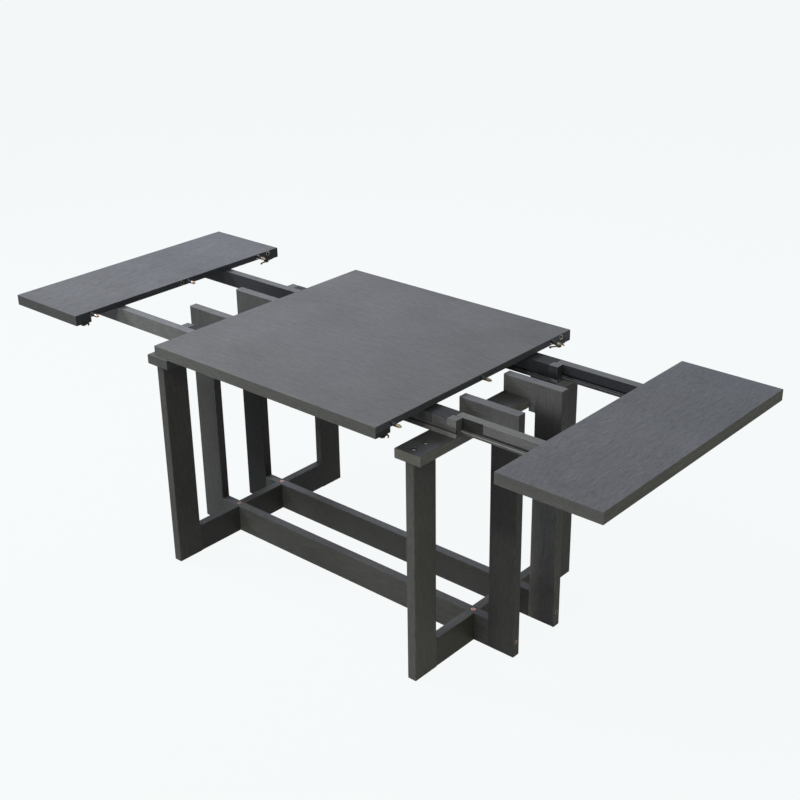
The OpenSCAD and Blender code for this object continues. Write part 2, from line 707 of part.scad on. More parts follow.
module top_screws() color(steel) for (side = [FRONT, BACK]) to_side(side)
    at_top_screws() translate([0, 0, -rail_sink]) screw(top_screw_length, WOOD_SCREW);
module joint_dowels() color(beech) at_corners() {
    at_floor_dowels() dowel();
    at_arm_dowels() dowel();
}
module centre_pins() color(top_colour) pins(centre_x, RIGHT_PINS);
module centre_pin_brass() color(brass) pin_brass(centre_x, RIGHT_PINS, RIGHT_BUSHES);
module centre_sockets() color(brass) sockets(-centre_x, LEFT_PINS);
module centre_lock_plates() color(brass) lock_plates(centre_x);
module centre_catches() color(brass) catches(-centre_x);

module right_leaf_panel() color(top_colour) difference() {
    leaf_panel_form();
    socket_hole(leaf_x, RIGHT_PINS);
}
module right_leaf_front_strip() color(edge_colour) difference() {
    side_strip_form(leaf_x, end_x, FRONT);
    catch_screw_holes(leaf_x);
}
module right_leaf_back_strip() color(edge_colour) difference() {
    side_strip_form(leaf_x, end_x, BACK);
    catch_screw_holes(leaf_x);
}
module right_leaf_end_strip() color(edge_colour) end_strip_form();
module right_front_runner() color(rail_colour) runner(FRONT);
module right_back_runner() color(rail_colour) runner(BACK);
module right_runner_screws() color(steel) runner_screws();
module right_stop_pegs() color(beech) stop_pegs();
module right_leaf_sockets() color(brass) sockets(leaf_x, RIGHT_PINS);
module right_leaf_catches() color(brass) catches(leaf_x);

// The left leaf is the right one turned half round, so its runners lie on the other side of their rails.
module left_leaf_panel() color(top_colour) difference() {
    rotate(180) leaf_panel_form();
    pin_hole(-leaf_x, LEFT_PINS, LEFT_BUSHES);
}
module left_leaf_front_strip() color(edge_colour) difference() {
    side_strip_form(-end_x, -leaf_x, FRONT);
    lock_screw_holes(-leaf_x);
}
module left_leaf_back_strip() color(edge_colour) difference() {
    side_strip_form(-end_x, -leaf_x, BACK);
    lock_screw_holes(-leaf_x);
}
module left_leaf_end_strip() color(edge_colour) rotate(180) end_strip_form();
module left_front_runner() color(rail_colour) rotate(180) runner(BACK);
module left_back_runner() color(rail_colour) rotate(180) runner(FRONT);
module left_runner_screws() color(steel) rotate(180) runner_screws();
module left_stop_pegs() color(beech) rotate(180) stop_pegs();
module left_leaf_pins() color(top_colour) pins(-leaf_x, LEFT_PINS);
module left_leaf_pin_brass() color(brass) pin_brass(-leaf_x, LEFT_PINS, LEFT_BUSHES);
module left_leaf_lock_plates() color(brass) lock_plates(-leaf_x);

module centre_front_lever() color(brass) lever(centre_x, FRONT, front_turn);
module centre_back_lever() color(brass) lever(centre_x, BACK, centre_back_turn);
module leaf_front_lever() color(brass) lever(-leaf_x, FRONT, front_turn);
module leaf_back_lever() color(brass) lever(-leaf_x, BACK, leaf_back_turn);

right_front_leg();
right_back_leg();
right_floor_rail();
right_cleat();
left_front_leg();
left_back_leg();
left_floor_rail();
left_cleat();
front_stretcher();
back_stretcher();
right_front_post();
right_back_post();
left_front_post();
left_back_post();
right_front_arm();
right_back_arm();
left_front_arm();
left_back_arm();
front_centre_rail();
back_centre_rail();
centre_panel();
centre_front_strip();
centre_back_strip();
crossing_screws();
post_bolts();
leg_screws();
cleat_screws();
top_screws();
joint_dowels();
centre_pins();
centre_pin_brass();
centre_sockets();
centre_lock_plates();
centre_catches();
right_leaf_panel();
right_leaf_front_strip();
right_leaf_back_strip();
right_leaf_end_strip();
right_front_runner();
right_back_runner();
right_runner_screws();
right_stop_pegs();
right_leaf_sockets();
right_leaf_catches();
left_leaf_panel();
left_leaf_front_strip();
left_leaf_back_strip();
left_leaf_end_strip();
left_front_runner();
left_back_runner();
left_runner_screws();
left_stop_pegs();
left_leaf_pins();
left_leaf_pin_brass();
left_leaf_lock_plates();
centre_front_lever();
centre_back_lever();
leaf_front_lever();
leaf_back_lever();
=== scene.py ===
"""Extending dining table: its finishes, light and camera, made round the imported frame."""
import math

import bpy
from mathutils import Matrix, Vector


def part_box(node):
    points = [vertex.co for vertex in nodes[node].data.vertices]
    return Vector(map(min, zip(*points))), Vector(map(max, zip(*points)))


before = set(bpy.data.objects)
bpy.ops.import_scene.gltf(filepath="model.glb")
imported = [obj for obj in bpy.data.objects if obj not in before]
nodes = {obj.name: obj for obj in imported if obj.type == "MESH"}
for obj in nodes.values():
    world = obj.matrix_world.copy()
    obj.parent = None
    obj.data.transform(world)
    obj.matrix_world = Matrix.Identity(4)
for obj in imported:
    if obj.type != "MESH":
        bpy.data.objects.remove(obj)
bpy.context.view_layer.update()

X, Y, Z = 0, 1, 2
MM = 0.001


class Value:
    """A number or colour that varies over a surface. Arithmetic on a number adds Math nodes to its finish."""

    def __init__(self, finish, socket):
        self.finish = finish
        self.socket = socket

    def __add__(self, other):
        return self.finish.maths("ADD", self, other)

    def __sub__(self, other):
        return self.finish.maths("SUBTRACT", self, other)

    def __rsub__(self, other):
        return self.finish.maths("SUBTRACT", other, self)

    def __mul__(self, other):
        return self.finish.maths("MULTIPLY", self, other)

    __radd__ = __add__
    __rmul__ = __mul__


class Finish:
    """A material with its shader and pattern nodes. Places are Object coordinates, in metres."""

    def __init__(self, name, metallic=0.0, specular=0.5):
        self.material = bpy.data.materials.new(name)
        self.material.use_nodes = True
        self.tree = self.material.node_tree
        self.shader = self.tree.nodes["Principled BSDF"]
        self.shader.inputs["Metallic"].default_value = metallic
        self.shader.inputs["Specular IOR Level"].default_value = specular
        self.place = self.node("ShaderNodeTexCoord", out="Object")
        self.facing = self.node("ShaderNodeTexCoord", out="Normal")

    def node(self, kind, settings=(), sockets=(), out=0):
        """A node of this kind, with its settings set before its sockets' values or links."""
        made = self.tree.nodes.new(kind)
        for setting, value in dict(settings).items():
            setattr(made, setting, value)
        for socket, value in dict(sockets).items():
            self.put(made.inputs[socket], value)
        return Value(self, made.outputs[out])

    def put(self, socket, value):
        """Links a varying value to a socket, or sets the socket to a constant."""
        if isinstance(value, Value):
            self.tree.links.new(value.socket, socket)
        else:
            socket.default_value = value

    def maths(self, operation, first, second=0.0):
        return self.node("ShaderNodeMath", {"operation": operation}, {0: first, 1: second})

    def ramp(self, value, low, high):
        """0 below low, 1 above high and smooth between."""
        return self.node("ShaderNodeMapRange", {"interpolation_type": "SMOOTHSTEP"},
                         {"Value": value, "From Min": low, "From Max": high})

    def mix(self, first, second, share):
        """The first colour where share is 0, the second where it is 1."""
        return self.node("ShaderNodeMix", {"data_type": "RGBA"},
                         {"Factor": share, 6: first, 7: second}, out=2)

    def noise(self, vector, detail=2.0, roughness=0.5, scale=1.0, out="Fac"):
        return self.node("ShaderNodeTexNoise", {},
                         {"Vector": vector, "Scale": scale, "Detail": detail, "Roughness": roughness}, out)

    def part(self, vector, axis):
        """One coordinate of a vector."""
        return self.node("ShaderNodeSeparateXYZ", {}, {0: vector}, out=axis)

    def drawn(self, vector, grain, along, across):
        """The vector with noise cells drawn out along the grain: cells per metre along and across it."""
        scale = [across] * 3
        scale[grain] = along
        return self.node("ShaderNodeMapping", {}, {"Vector": vector, "Scale": scale})

    def swayed(self, scale, amount):
        """Places pushed about by up to about half the amount, in metres, in cells of 1 / scale metres."""
        push = self.noise(self.place, 1.0, scale=scale, out="Color")
        centred = self.node("ShaderNodeVectorMath", {"operation": "SUBTRACT"}, {0: push, 1: (0.5, 0.5, 0.5)})
        return self.node("ShaderNodeVectorMath", {"operation": "MULTIPLY_ADD"},
                         {0: centred, 1: (amount, amount, amount), 2: self.place})

    def inside(self, low, high):
        """1 inside the box between two corners, 0 outside."""
        mask = 1
        for axis in (X, Y, Z):
            middle, half = (low[axis] + high[axis]) / 2, (high[axis] - low[axis]) / 2
            mask = self.node("ShaderNodeMath", {"operation": "COMPARE"},
                             {0: self.part(self.place, axis), 1: middle, 2: half}) * mask
        return mask

    def marked(self, colour, marks):
        """The colour times each mark's factor in the mark's box.

        A mark with a fourth number fades in over that height from the foot and from the head of its box.
        """
        shade = 1
        height = self.part(self.place, Z)
        for low, high, factor, *fade in marks:
            mask = self.inside(low, high)
            if fade:
                mask = mask * self.ramp(height, low[Z], low[Z] + fade[0])
                mask = mask * (1 - self.ramp(height, high[Z] - fade[0], high[Z]))
            shade = (1 + mask * (factor - 1)) * shade
        return self.node("ShaderNodeVectorMath", {"operation": "SCALE"}, {0: colour, "Scale": shade})

    def eased(self):
        """1 on the narrow slanting faces along a board's eased edges, 0 on its six sides."""
        size = self.node("ShaderNodeVectorMath", {"operation": "ABSOLUTE"}, {0: self.facing})
        longest = self.maths("MAXIMUM", self.maths("MAXIMUM", self.part(size, X), self.part(size, Y)),
                             self.part(size, Z))
        return 1 - self.ramp(longest, *SQUARE_ON)

    def relief(self, height, depth):
        """Raises the surface by height times depth, in metres."""
        self.put(self.shader.inputs["Normal"],
                 self.node("ShaderNodeBump", {}, {"Height": height, "Distance": depth}))


# How squarely a face looks along an axis where it turns from an eased edge to a side of its board, along X
# where it turns to a side that may meet another top, and upwards where it turns to a flat face
SQUARE_ON = (0.75, 0.95)
SIDEWAYS = (0.8, 0.95)
UPWARDS = (0.6, 0.8)
# The distance from the table's middle, along X, at which a leaf's sides turn to its outer end
OUTER_END = (0.90, 0.95)

# The wood's patterns, in noise cells per metre along and across the grain, and the clouds in the stain
RING_CELLS = (0.8, 6.0)
STREAK_CELLS = (38, 300)
FIBRE_CELLS = (50, 480)
PORE_CELLS = (90, 1250)
CLOUD_CELLS = 5.0
# The sway of the grain, in cells per metre and in metres, and the growth rings to a cell
SWAY = (4.0, 0.005)
RINGS_TO_A_CELL = 22
# How far each pattern moves the stain's tone, from 0 (its dark colour) to 1 (its light colour)
FIBRE_TONE = 0.8
STREAK_TONE = 0.9
RING_TONE = 0.09
PORE_TONE = 0.22
CLOUD_TONE = 0.7
# The share of its level by which the dark and the light colour differ from a stain
SPREAD = 0.34
# Between which values of its contours or noise latewood, a pore and a streak of rubbed wear and painted
# highlight set in
LATEWOOD = (0.35, 0.95)
PORES = (0.60, 0.70)
EDGE_HIGHLIGHT_AND_WEAR_STREAKS = (0.35, 0.65)
# The dark and the light level of an eased edge's rubbed wear and painted highlight, in times the flat
# stain's, and how much of it shows
EDGE_HIGHLIGHT_AND_WEAR_LEVELS = (1.2, 1.7)
EDGE_HIGHLIGHT_AND_WEAR_SHARE = 0.4
WOOD_ROUGHNESS = 0.5
WOOD_SPECULAR = 0.1
WOOD_RELIEF = 0.10 * MM
# What a warmth of 1 adds to red and takes from blue, and what it adds to green towards olive and towards blue
WARM_RED = 0.10
WARM_BLUE = 0.16
OLIVE_GREEN = 0.11
COOL_GREEN = 0.05


def grey(level, warmth):
    """A linear colour of this level, warmer (olive) above 0 and cooler (blue) below."""
    green = OLIVE_GREEN if warmth > 0 else COOL_GREEN
    return (level * (1 + WARM_RED * warmth), level * (1 + green * warmth), level * (1 - WARM_BLUE * warmth), 1)


def stained_wood(name, grain, flat, upright, mating=None, marks=(), contrast=1.0):
    """Open-pored wood under a thin grey stain.

    Growth rings are the contours of a slow noise, streaks and fibres finer ones and pores the peaks of the
    finest, all drawn out along the grain. flat, upright and mating are the stain's level and warmth on the
    faces that look up, on all others, and on the sides where a leaf and the centre top meet; their
    differences are painted light and shade on one stain. marks are the places that are lighter or darker,
    mostly painted shade and light: a box's two corners and the factor of the colour in it.
    """
    finish = Finish(name, specular=WOOD_SPECULAR)
    swayed = finish.swayed(*SWAY)
    slow = finish.noise(finish.drawn(swayed, grain, *RING_CELLS), 1.0)
    rings = finish.maths("PINGPONG", slow * RINGS_TO_A_CELL, 0.5) * 2
    latewood = finish.ramp(rings, *LATEWOOD)
    streaks = finish.noise(finish.drawn(swayed, grain, *STREAK_CELLS), 2.0, 0.6)
    fibres = finish.noise(finish.drawn(swayed, grain, *FIBRE_CELLS), 2.0, 0.6)
    dots = finish.noise(finish.drawn(finish.place, grain, *PORE_CELLS), 1.0)
    pores = finish.ramp(dots, *PORES) * (1 - 0.6 * latewood)
    clouds = finish.noise(finish.place, 2.0, scale=CLOUD_CELLS)
    grained = ((fibres - 0.5) * FIBRE_TONE + (streaks - 0.5) * STREAK_TONE
               + (0.4 - latewood) * RING_TONE - pores * PORE_TONE)
    tone = 0.5 + grained * contrast + (clouds - 0.5) * CLOUD_TONE

    def shades(level, warmth):
        return finish.mix(grey(level * (1 - SPREAD), warmth), grey(level * (1 + SPREAD), warmth), tone)

    side = shades(*upright)
    # The darker, bluish sides where the tops meet are painted shade.
    if mating:
        sideways = finish.maths("ABSOLUTE", finish.part(finish.facing, X))
        from_middle = finish.maths("ABSOLUTE", finish.part(finish.place, X))
        inner = finish.ramp(sideways, *SIDEWAYS) * (1 - finish.ramp(from_middle, *OUTER_END))
        side = finish.mix(side, shades(*mating), inner)
    # Faces that look up take the lighter flat level and all others the darker side level: painted light and
    # shade.
    colour = finish.mix(side, shades(*flat), finish.ramp(finish.part(finish.facing, Z), *UPWARDS))
    level, warmth = flat
    # Eased edges lighter in streaks: partly rubbed wear, partly a painted highlight.
    highlit_and_rubbed = finish.mix(grey(level * EDGE_HIGHLIGHT_AND_WEAR_LEVELS[0], warmth), grey(level * EDGE_HIGHLIGHT_AND_WEAR_LEVELS[1], warmth), fibres)
    highlit_and_worn = finish.eased() * finish.ramp(streaks, *EDGE_HIGHLIGHT_AND_WEAR_STREAKS) * EDGE_HIGHLIGHT_AND_WEAR_SHARE
    colour = finish.mix(colour, highlit_and_rubbed, highlit_and_worn)
    if marks:
        colour = finish.marked(colour, marks)
    finish.put(finish.shader.inputs["Base Color"], colour)
    finish.put(finish.shader.inputs["Roughness"], WOOD_ROUGHNESS + (fibres - 0.5) * 0.25 + pores * 0.2)
    finish.relief(fibres * 0.6 - pores * 0.8 - latewood * 0.15, WOOD_RELIEF)
    return finish.material


# Cells per metre of a metal's fine turning marks, their relief, between which values of its noise tarnish sets
# in, and bright nickel's light and dark colours
TURNING_CELLS = 600
TURNING_RELIEF = 0.02 * MM
TARNISH = (0.38, 0.62)
NICKEL = ((0.50, 0.49, 0.42, 1), (0.12, 0.12, 0.11, 1))


def metal(name, light, dark, roughness, tarnish=12.0, rings=None):
    """Satin metal with fine turning marks and a slow tarnish between its light and dark colours.

    tarnish is in cells per metre. Where rings is a box, what lies in it is bright nickel.
    """
    finish = Finish(name, metallic=1.0)
    turned = finish.noise(finish.place, 2.0, scale=TURNING_CELLS)
    spots = finish.ramp(finish.noise(finish.place, 3.0, 0.6, scale=tarnish), *TARNISH)
    colour = finish.mix((*light, 1), (*dark, 1), spots * 0.8 + turned * 0.2)
    if rings:
        colour = finish.mix(colour, finish.mix(*NICKEL, spots), finish.inside(*rings))
    finish.put(finish.shader.inputs["Base Color"], colour)
    finish.put(finish.shader.inputs["Roughness"], roughness + spots * 0.15 + (turned - 0.5) * 0.2)
    finish.relief(turned, TURNING_RELIEF)
    return finish.material


# Dowel wood's dark and light colours, its noise cells along and across the grain, and its relief
DOWEL_COLOURS = ((0.36, 0.23, 0.11, 1), (0.60, 0.42, 0.24, 1))
DOWEL_CELLS = (20, 900)
DOWEL_RELIEF = 0.05 * MM


def bare_wood(name, grain):
    """Pale unstained dowel wood."""
    finish = Finish(name, specular=0.3)
    fibres = finish.noise(finish.drawn(finish.place, grain, *DOWEL_CELLS), 3.0, 0.6)
    finish.put(finish.shader.inputs["Base Color"], finish.mix(*DOWEL_COLOURS, fibres))
    finish.put(finish.shader.inputs["Roughness"], 0.55 + fibres * 0.15)
    finish.relief(fibres, DOWEL_RELIEF)
    return finish.material


# The stain's level and warmth on flat faces, on upright sides of the frame, the tops and the slides, and on the
# sides where the centre top, its strips and the leaves meet. The lighter flat level, the darker sides, the much
# darker back slides and the dark bluish meeting sides are painted light and shade on one stain.
FLAT = (0.155, 0.0)
FRAME_SIDE = (0.112, 0.0)
EDGE_SIDE = (0.136, 0.2)
FRONT_SLIDE_SIDE = (0.132, 0.0)
BACK_SLIDE_SIDE = (0.048, -0.8)
CENTRE_MATING = (0.150, -1.2)
STRIP_MATING = (0.085, -1.1)
LEAF_MATING = (0.070, -1.0)

# Each wooden piece's grain, the stain on its upright sides, and that on its flat faces where it isn't FLAT.
# The levels were tuned piece by piece until each face in the main view was about as light as in the
# photograph, so a part of the photograph's uneven light is in them.
BOARDS = {
    "right_front_leg": (Z, (0.142, 0.2)),
    "right_back_leg": (Z, (0.114, 0.0)),
    "right_floor_rail": (Y, (0.084, 0.3)),
    "right_cleat": (Y, (0.230, 0.4), (0.070, 0.0)),
    "left_front_leg": (Z, (0.103, 0.2)),
    "left_back_leg": (Z, (0.098, 0.3)),
    "left_floor_rail": (Y, (0.072, 0.0), (0.115, 0.0)),
    "left_cleat": (Y, FRAME_SIDE, (0.110, 0.0)),
    "front_stretcher": (X, (0.121, 0.2), (0.142, -0.1)),
    "back_stretcher": (X, (0.110, 0.0), (0.160, -0.2)),
    "right_front_post": (Z, (0.086, 0.0)),
    "right_back_post": (Z, (0.165, 0.0), (0.178, 0.0)),
    "left_front_post": (Z, (0.102, 0.0), (0.190, 0.0)),
    "left_back_post": (Z, (0.053, 0.1)),
    "right_front_arm": (X, (0.126, 0.0), (0.158, -0.1)),
    "right_back_arm": (X, (0.145, 0.0), (0.162, -0.1)),
    "left_front_arm": (X, (0.124, 0.0), (0.190, 0.0)),
    "left_back_arm": (X, (0.108, 0.0), (0.165, 0.0)),
    "front_centre_rail": (X, FRONT_SLIDE_SIDE),
    "right_front_runner": (X, FRONT_SLIDE_SIDE, (0.172, 0.3)),
    "left_front_runner": (X, (0.200, 0.0), (0.220, 0.0)),
    "back_centre_rail": (X, (0.030, -0.8)),
    "right_back_runner": (X, BACK_SLIDE_SIDE, (0.165, 0.1)),
    "left_back_runner": (X, (0.044, -0.8), (0.160, 0.0)),
    "centre_panel": (X, EDGE_SIDE),
    "centre_front_strip": (X, EDGE_SIDE),
    "centre_back_strip": (X, EDGE_SIDE),
    "right_leaf_panel": (Y, (0.152, 0.1), (0.155, -0.2)),
    "right_leaf_front_strip": (X, (0.164, 0.2)),
    "right_leaf_back_strip": (X, EDGE_SIDE),
    "right_leaf_end_strip": (Y, (0.137, 0.0)),
    "left_leaf_panel": (Y, (0.092, 0.0), (0.150, -0.2)),
    "left_leaf_front_strip": (X, (0.090, 0.0)),
    "left_leaf_back_strip": (X, (0.090, 0.0)),
    "left_leaf_end_strip": (Y, (0.090, 0.0)),
}
# The grain's contrast on the leaves, in times that of the other boards
LEAF_CONTRAST = 1.45

# The slides' middles in y, and the heights in their section between which their painted shade and light change
SLIDE_Y = {"front": -0.223, "back": 0.223}
SLIDE_FOOT = 0.6900
LIP_FOOT = 0.7020
TONGUE_EDGE = (0.7050, 0.7078)
LIP_TOP = 0.7070
TONGUE_TOP = 0.7088
RAIL_SHOULDER = 0.7120
WALL_FOOT = 0.7155
LIT_END_FOOT = 0.7220
SLIDE_TOP = 0.7405
ABOVE_SLIDES = 0.75
# The front runner's seen side, in y
FRONT_WALL = (-0.2110, -0.2080)
# From a slide's middle in y: the gap over a runner's tongue, the tongue, a rail's lip and foot, half a rail's
# top, and the rail's seen side
GAP_Y = (0.0120, 0.0150)
TONGUE_Y = (0.0030, 0.0110)
LIP_Y = (-0.0110, -0.0050)
FOOT_Y = (-0.0160, -0.0080)
RAIL_HALF = 0.014
RAIL_FACE = (-0.014, -0.012)
# Distances in x: where the slides' dark tops, a painted shadow of the centre top, start, where a runner's ends,
# where the front runner's dark patch ends, a place past its line where the painted light beyond the patch ends,
# and the length of a rail's end with painted light
DARK_START = 0.41
DARK_END = 0.507
PATCH_END = 0.595
PAST_LINE = 0.83
LIT_END_LENGTH = 0.030


def runner_marks(y, low_x, high_x):
    """Painted shade over a runner's tongue, a painted highlight on its edge, painted light on its underside."""
    return [((low_x, y + GAP_Y[0], TONGUE_TOP - MM), (high_x, y + GAP_Y[1], WALL_FOOT), 0.40),
            ((low_x, y + TONGUE_Y[0], TONGUE_EDGE[0]), (high_x, y + TONGUE_Y[1], TONGUE_EDGE[1]), 4.5),
            ((low_x, y + TONGUE_Y[0], SLIDE_FOOT), (high_x, y + GAP_Y[1], TONGUE_EDGE[0]), 1.5)]


def rail_marks(y, end):
    """Painted shade under a rail's lip, light on its foot, and at each end a painted shadow on its top and
    light on its last stretch.
    """
    marks = [((-end, y + LIP_Y[0], LIP_FOOT), (end, y + LIP_Y[1], LIP_TOP), 0.35),
             ((-end, y + FOOT_Y[0], SLIDE_FOOT), (end, y + FOOT_Y[1], LIP_FOOT), 1.3)]
    for side in (-1, 1):
        top = sorted((side * DARK_START, side * (end - LIT_END_LENGTH)))
        lit_end = sorted((side * (end - LIT_END_LENGTH), side * end))
        marks.append(((top[0], y - RAIL_HALF, SLIDE_TOP), (top[1], y + RAIL_HALF, ABOVE_SLIDES), 0.13))
        marks.append(((lit_end[0], y + RAIL_FACE[0], LIT_END_FOOT),
                      (lit_end[1], y + RAIL_FACE[1], SLIDE_TOP), 1.8))
    return marks


# Marks on single slides beside those that every slide has: the dark tops are a painted shadow of the centre
# top, as is the dark stretch on the front rail's face by it; the front runner's side is darker by the rail's
# end and has painted light past that.
MARKS = {
    "right_front_runner": [
        ((DARK_START, -0.22, SLIDE_TOP), (DARK_END, -0.17, ABOVE_SLIDES), 0.12),
        ((DARK_START, FRONT_WALL[0], WALL_FOOT), (PATCH_END, FRONT_WALL[1], ABOVE_SLIDES), 0.32),
        ((PATCH_END, FRONT_WALL[0], WALL_FOOT), (PAST_LINE, FRONT_WALL[1], ABOVE_SLIDES), 1.45)],
    "right_back_runner": [((DARK_START, 0.22, SLIDE_TOP), (DARK_END, 0.28, ABOVE_SLIDES), 0.12)],
    "front_centre_rail": [((0.40, -0.24, RAIL_SHOULDER), (0.450, -0.2350, ABOVE_SLIDES), 0.5)],
}

# Lighter and darker stretches of the frame's boards, tuned to the photograph, where they are most likely
# light and shadow and not stain: on the front or the right side, from which height to which, and the factor
# of the colour. Each fades in over the height FADE, and WHOLE goes past both ends of any board. The boards
# are even without them.
FADE = 0.08
WHOLE = (-0.10, 0.85)
UNEVEN = {
    "right_front_post": [("front", -0.10, 0.18, 0.87), ("front", 0.34, 0.68, 0.62),
                         ("front", 0.49, 0.63, 0.55), ("front", 0.62, 0.85, 1.70)],
    "right_back_post": [("front", -0.10, 0.52, 1.80), ("front", 0.10, 0.52, 1.25),
                        ("front", 0.46, 0.72, 0.22), ("front", 0.64, 0.85, 0.85), ("right", *WHOLE, 0.82)],
    "left_front_post": [("front", -0.10, 0.14, 0.88), ("front", 0.20, 0.62, 1.12),
                        ("front", 0.68, 0.85, 1.12), ("right", *WHOLE, 0.71)],
    "left_back_post": [("front", -0.10, 0.68, 0.50), ("front", 0.10, 0.68, 0.60),
                       ("front", 0.60, 0.85, 1.95)],
    "left_back_leg": [("front", *WHOLE, 1.38), ("right", *WHOLE, 0.80)],
    "left_front_leg": [("right", *WHOLE, 0.90)],
    "right_cleat": [("right", *WHOLE, 1.28), ("front", *WHOLE, 0.90)],
    "front_centre_rail": [("right", *WHOLE, 1.35)],
    "back_centre_rail": [("right", *WHOLE, 2.20)],
}


def uneven_marks(node_name):
    """The lighter and darker stretches of a board, each on one of its sides."""
    low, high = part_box(node_name)
    marks = []
    for side, foot, head, factor in UNEVEN.get(node_name, ()):
        first, last = [low[X] - MM, low[Y] - MM, foot], [high[X] + MM, high[Y] + MM, head]
        if side == "front":
            last[Y] = low[Y] + MM
        else:
            first[X] = high[X] - MM
        marks.append((first, last, factor, FADE))
    return marks


# The painted shade in a cleat's screw wells: how far it stays off the sides, and its foot and head under the
# top
WELL_RIM = 4 * MM
WELL_SHADE = (4.5 * MM, 0.4 * MM)


def marks_of(node_name):
    """All marks on a board: its own, its uneven stretches, a slide's, or the painted shade in its screw wells.
    """
    low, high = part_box(node_name)
    marks = list(MARKS.get(node_name, ())) + uneven_marks(node_name)
    if node_name.endswith(("runner", "centre_rail")):
        slide_y = SLIDE_Y["front" if "front" in node_name else "back"]
        marks += (runner_marks(slide_y, low[X] - MM, high[X] + MM) if "runner" in node_name
                  else rail_marks(slide_y, high[X] + MM))
    # Painted shade in the screw wells.
    if "cleat" in node_name:
        marks.append(((low[X] + WELL_RIM, low[Y] + WELL_RIM, high[Z] - WELL_SHADE[0]),
                      (high[X] - WELL_RIM, high[Y] - WELL_RIM, high[Z] - WELL_SHADE[1]), 0.2))
    return marks


def mating_of(node_name):
    """The stain on the side that meets a leaf or the centre top, darkened there as painted shade, or None for a
    board of the frame.
    """
    if "panel" in node_name:
        return CENTRE_MATING if "centre" in node_name else LEAF_MATING
    if "strip" in node_name:
        return STRIP_MATING if "centre" in node_name else LEAF_MATING
    return None


# The boxes round the nickel rings at the feet of the centre top's and the left leaf's pins
CENTRE_RINGS = ((0.40, -0.5, 0.7), (0.4256, 0.5, 0.8))
LEAF_RINGS = ((-0.82, -0.5, 0.7), (-0.7904, 0.5, 0.8))

# What each other node is finished in, by the end of its name, the first that fits
FINISH_OF = [
    ("stop_pegs", "pin_wood"), ("joint_dowels", "dowel_wood"), ("crossing_screws", "copper"),
    ("post_bolts", "dark_copper"), ("centre_pin_brass", "centre_brass"), ("pin_brass", "leaf_brass"),
    ("pins", "pin_wood"), ("sockets", "centre_brass"), ("lock_plates", "dark_steel"), ("catches", "dark_steel"),
    ("lever", "aged_brass"), ("leg_screws", "bright_steel"), ("screws", "steel"),
]
FINISHES = {
    "pin_wood": stained_wood("pin_wood", X, (0.035, -0.8), (0.035, -0.8)),
    "dowel_wood": bare_wood("dowel_wood", Z),
    "centre_brass": metal("centre_brass", (0.30, 0.25, 0.14), (0.09, 0.07, 0.05), 0.34, tarnish=60.0,
                          rings=CENTRE_RINGS),
    "leaf_brass": metal("leaf_brass", (0.52, 0.36, 0.25), (0.13, 0.09, 0.07), 0.34, tarnish=60.0,
                        rings=LEAF_RINGS),
    "aged_brass": metal("aged_brass", (0.27, 0.20, 0.12), (0.035, 0.026, 0.022), 0.36, tarnish=90.0),
    "copper": metal("copper", (0.52, 0.31, 0.23), (0.28, 0.16, 0.12), 0.34, tarnish=80.0),
    "dark_copper": metal("dark_copper", (0.26, 0.16, 0.11), (0.11, 0.075, 0.06), 0.38, tarnish=80.0),
    "steel": metal("steel", (0.52, 0.53, 0.54), (0.30, 0.31, 0.32), 0.36),
    "bright_steel": metal("bright_steel", (0.86, 0.87, 0.88), (0.52, 0.53, 0.54), 0.26, tarnish=60.0),
    "dark_steel": metal("dark_steel", (0.12, 0.12, 0.13), (0.05, 0.05, 0.055), 0.40),
}
for board_name, (board_grain, board_side, *board_flat) in BOARDS.items():
    board_contrast = LEAF_CONTRAST if "leaf_panel" in board_name else 1.0
    FINISHES[board_name] = stained_wood(board_name + "_stain", board_grain, (board_flat or [FLAT])[0],
                                        board_side, mating_of(board_name), marks_of(board_name),
                                        board_contrast)


def dress(node_name):
    """Puts its finish on a node of the frame."""
    if node_name in BOARDS:
        finish_name = node_name
    else:
        finish_name = next(name for ending, name in FINISH_OF if node_name.endswith(ending))
    mesh = nodes[node_name].data
    mesh.materials.clear()
    mesh.materials.append(FINISHES[finish_name])


for node_name in nodes:
    dress(node_name)


TABLE_MIDDLE = Vector((0, 0, 0.6))
LAMP_DISTANCE = 4.5
LAMP_SIDE = 1.4

# The studio's lamps: where each stands round the table, in degrees from +X, how high it stands over the
# table's middle, in degrees, and the share of plain light that it gives to a face that looks at it, in red,
# green and blue. The shares were fitted, by least squares, to how light the table's faces are in the
# photograph.
LAMPS = {
    "key_light": (202, 38, (0.65, 0.67, 0.73)),
    "far_light": (90, 38, (0.087, 0.108, 0.145)),
    "far_left_light": (135, 38, (0.120, 0.123, 0.158)),
    "front_light": (270, 38, (0.270, 0.285, 0.235)),
    "near_light": (315, 38, (0.063, 0.050, 0.073)),
    "right_light": (0, 12, (0.060, 0.063, 0.024)),
}


def softbox(name, turn, height, light):
    """A square area lamp that looks at the table's middle and isn't itself seen."""
    turn, height = math.radians(turn), math.radians(height)
    away = Vector((math.cos(turn) * math.cos(height), math.sin(turn) * math.cos(height), math.sin(height)))
    brightest = max(light)
    lamp = bpy.data.lights.new(name, "AREA")
    lamp.size = LAMP_SIDE
    lamp.energy = math.pi ** 2 * brightest * LAMP_DISTANCE ** 2
    lamp.color = [part / brightest for part in light]
    holder = bpy.data.objects.new(name, lamp)
    holder.location = TABLE_MIDDLE + away * LAMP_DISTANCE
    holder.rotation_euler = away.to_track_quat("Z", "Y").to_euler()
    holder.visible_camera = False
    bpy.context.scene.collection.objects.link(holder)


for lamp_name, (lamp_turn, lamp_height, lamp_light) in LAMPS.items():
    softbox(lamp_name, lamp_turn, lamp_height, lamp_light)


